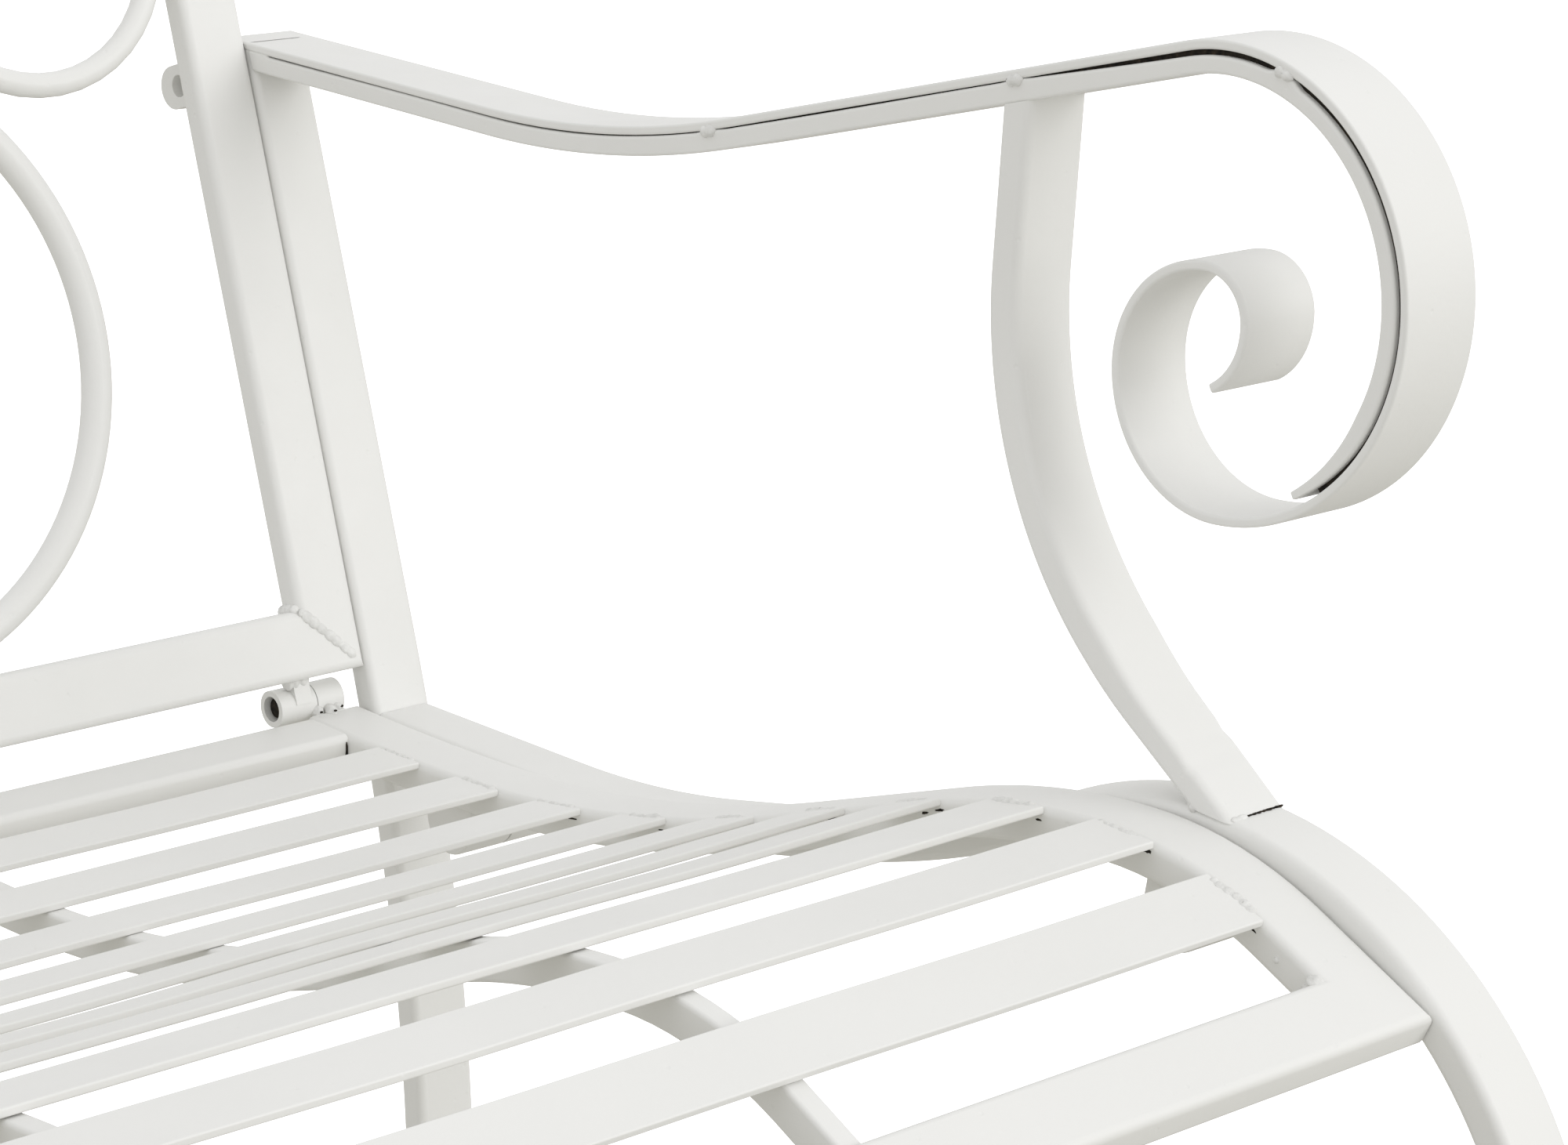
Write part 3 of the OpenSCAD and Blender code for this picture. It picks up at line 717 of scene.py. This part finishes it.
def side_frame_welds(side, end):
    """Tack welds along the arm, the weld round the support's foot, and the bar's weld to the rear leg."""
    beads, shade_slivers = [], []
    for k, s in enumerate(TACKS):
        where, along, _ = on_path(ARM, s, FRAME_X + 0.2 * MM, STRAP_T + 0.3 * MM)
        beads.append(bead([where - along * 3.5 * MM, where + along * 3.5 * MM], 1.8 * MM, 20 + k, normal=-X))
    # the outline's points 14 and 15 end its flat front side, and 1, 4, 5 and 8 follow its rear side
    foot = SUPPORT_RINGS[-1]
    foot_up = (SUPPORT_RINGS[-2][14] - foot[14]).normalized()
    rise = foot_up * (0.9 * MM / -foot_up.dot(FOOT_DEEP))
    seam_from, seam_to = foot[14] + rise, foot[15] + rise
    seam_out = (Vector((0, -0.6, 0.8)) - FOOT_DEEP).normalized()
    beads.append(bead([foot[k] for k in (1, 4, 5, 8)], 1.5 * MM, 33, normal=Vector((0, 0.5, 0.8))))
    line = [seam_from - X * 1.5 * MM, seam_from + (seam_to - seam_from) * 0.3]
    beads.append(bead(line, 1.1 * MM, 32, flat=0.5, normal=Vector((0, -0.7, 0.7))))
    # slivers of painted shade along the seam at the support's foot
    rng = random.Random(9)
    run = seam_to - seam_from
    for k in range(7):
        shade_slivers.append(painted_sliver(seam_from + run * (0.34 + 0.11 * k) + seam_out * 0.12 * MM,
                            run + Vector((0, 0, rng.uniform(-0.1, 0.1) * run.length)), seam_out,
                            rng.uniform(2.6, 5) * MM, rng.uniform(0.6, 1.1) * MM, 500 + k))
    leg_top = on_path(REAR_LEG, BAR_ON_LEG, FRAME_X, 0)[0]
    where = on_path(ARM, nearest(ARM, leg_top) - 3 * MM, 0, STRAP_T + BAR_T)[0]
    beads.append(bead([where + X * FRAME_X, where + X * FRAME_OUT], 1.6 * MM, 41,
                      normal=Vector((0, -0.7, -0.7))))
    piece("side_frame_welds_" + end, beads, WELD, FRAME, side=side, flat_ends=False)
    piece("side_frame_painted_shade_" + end, shade_slivers, GAP_SHADE, FRAME, side=side, flat_ends=False)


def back_welds(side, end):
    """The mitre of the back frame, its inner corner, and the barrel's web, and painted shade inside its bore.
    """
    beads = []
    mitre = [in_back(RAIL_X - k * TUBE_W / 6, -0.1 * MM, k * TUBE_W / 6) for k in range(7)]
    beads.append(bead(mitre[1:], 1.9 * MM, 51, pitch=4 * MM, flat=0.5, normal=Vector((0, -1, 0.2))))
    inner = [in_back(SEAT_X - 0.2 * MM, y * MM, TUBE_W + 0.2 * MM) for y in (0.6, 11.5)]
    beads.append(bead(inner, 2.6 * MM, 52, pitch=2.6 * MM, normal=Vector((-0.7, 0, 0.7))))
    web = [in_back(SEAT_X + k * MM, 9.2 * MM, -0.4 * MM) for k in (-7, 4.5)]
    beads.append(bead(web, 2.6 * MM, 53, normal=Vector((0, -0.6, -0.6))))
    piece("back_welds_" + end, beads, WELD, BACK, side=side, flat_ends=False)
    # an almost black ring of painted shade inside the barrel's bore
    ring = [Vector((SEAT_X - 9.9 * MM, HINGE.y + 3.6 * MM * math.cos(a), HINGE.z + 3.6 * MM * math.sin(a)))
            for a in (2 * math.pi * k / 20 for k in range(20))]
    bore = skin([[p + X * 2 * MM for p in ring], [p + X * 6 * MM for p in ring]])
    piece("barrel_painted_shade_" + end, [bore], GAP_SHADE, BACK, side=side, flat_ends=False)


def slat_painted_shade():
    """Painted shade: almost black slivers in the open joints where the slats lie on their supports."""
    joint_slivers = []
    rng = random.Random(77)
    for x in SUPPORT_X:
        for s in SLAT_S:
            if rng.random() < 0.3:
                continue
            start = x - SUPPORT_W / 2 + rng.uniform(0, 2) * MM
            for _ in range(rng.randint(2, 4)):
                long = rng.uniform(0.8, 2.6) * MM
                if start + long > x + SUPPORT_W / 2:
                    break
                where, _, deep = on_path(SEAT, s - SLAT_W / 2 - 0.5 * MM, start + long / 2, 1.3 * MM)
                joint_slivers.append(painted_sliver(where, X, -deep, long, rng.uniform(0.8, 1.5) * MM, rng.randint(0, 9999)))
                start += long + rng.uniform(0.3, 0.9) * MM
    piece("slat_painted_shade", joint_slivers, GAP_SHADE, FRAME, flat_ends=False)


for side, end in ENDS:
    seat_welds(side, end)
    side_frame_welds(side, end)
    back_welds(side, end)
slat_painted_shade()


# ---- stage ----
CAMERA_PLACE = (SEAT_X - 0.8689, DATUM.x - 1.206, DATUM.y + 0.436)
CAMERA_DOWN = 14.49                             # degrees below level
CAMERA_RIGHT = 42.2                             # degrees to the right of straight ahead
SENSOR, LENS = 36, 97.2
FLOOR_HALF = 30
# how far up from straight below (0) to straight above (1), and the light from there
SKY = ((0.38, (0.52, 0.51, 0.465)), (0.54, (0.885, 0.885, 0.885)))


def add_camera():
    camera = bpy.data.objects.new("camera", bpy.data.cameras.new("camera"))
    bpy.context.collection.objects.link(camera)
    camera.location = CAMERA_PLACE
    camera.rotation_euler = (math.radians(90 - CAMERA_DOWN), 0, math.radians(-CAMERA_RIGHT))
    camera.data.sensor_width = SENSOR
    camera.data.lens = LENS
    camera.data.clip_start = 0.05
    bpy.context.scene.camera = camera


def area_light(name, place, target, size, power):
    data = bpy.data.lights.new(name, "AREA")
    data.shape = "DISK"
    data.size = size
    data.energy = power
    light = bpy.data.objects.new(name, data)
    bpy.context.collection.objects.link(light)
    light.location = place
    light.rotation_euler = (Vector(target) - Vector(place)).to_track_quat("-Z", "Y").to_euler()


def add_floor():
    """A plain floor that glows a little, and that the object neither mirrors nor takes light from."""
    mesh = bpy.data.meshes.new("floor")
    r = FLOOR_HALF
    mesh.from_pydata([(-r, -r, 0), (r, -r, 0), (r, r, 0), (-r, r, 0)], [], [(0, 1, 2, 3)])
    floor = bpy.data.objects.new("floor", mesh)
    bpy.context.collection.objects.link(floor)
    floor.visible_diffuse = False
    floor.visible_glossy = False
    n = Nodes("floor")
    n.shader.inputs["Base Color"].default_value = (0.9, 0.9, 0.9, 1)
    n.shader.inputs["Roughness"].default_value = 0.9
    n.shader.inputs["Emission Color"].default_value = (1, 1, 1, 1)
    n.shader.inputs["Emission Strength"].default_value = 0.9
    floor.data.materials.append(n.material)


def add_sky():
    world = bpy.data.worlds.new("studio")
    bpy.context.scene.world = world
    world.use_nodes = True
    tree = world.node_tree
    direction = tree.nodes.new("ShaderNodeTexCoord")
    axes = tree.nodes.new("ShaderNodeSeparateXYZ")
    sky = tree.nodes.new("ShaderNodeValToRGB")
    height = tree.nodes.new("ShaderNodeMapRange")
    height.inputs["From Min"].default_value = -1
    for element, (where, colour) in zip(sky.color_ramp.elements, SKY):
        element.position = where
        element.color = (*colour, 1)
    tree.links.new(direction.outputs["Generated"], axes.inputs["Vector"])
    tree.links.new(axes.outputs["Z"], height.inputs["Value"])
    tree.links.new(height.outputs["Result"], sky.inputs["Fac"])
    tree.links.new(sky.outputs["Color"], tree.nodes["Background"].inputs["Color"])
    tree.nodes["Background"].inputs["Strength"].default_value = 1


add_camera()
add_floor()
add_sky()
area_light("key", place=(2.4, -4.0, 1.9), target=(0.7, -0.1, 0.4), size=2.5, power=56)
bpy.context.scene.view_settings.view_transform = "Standard"
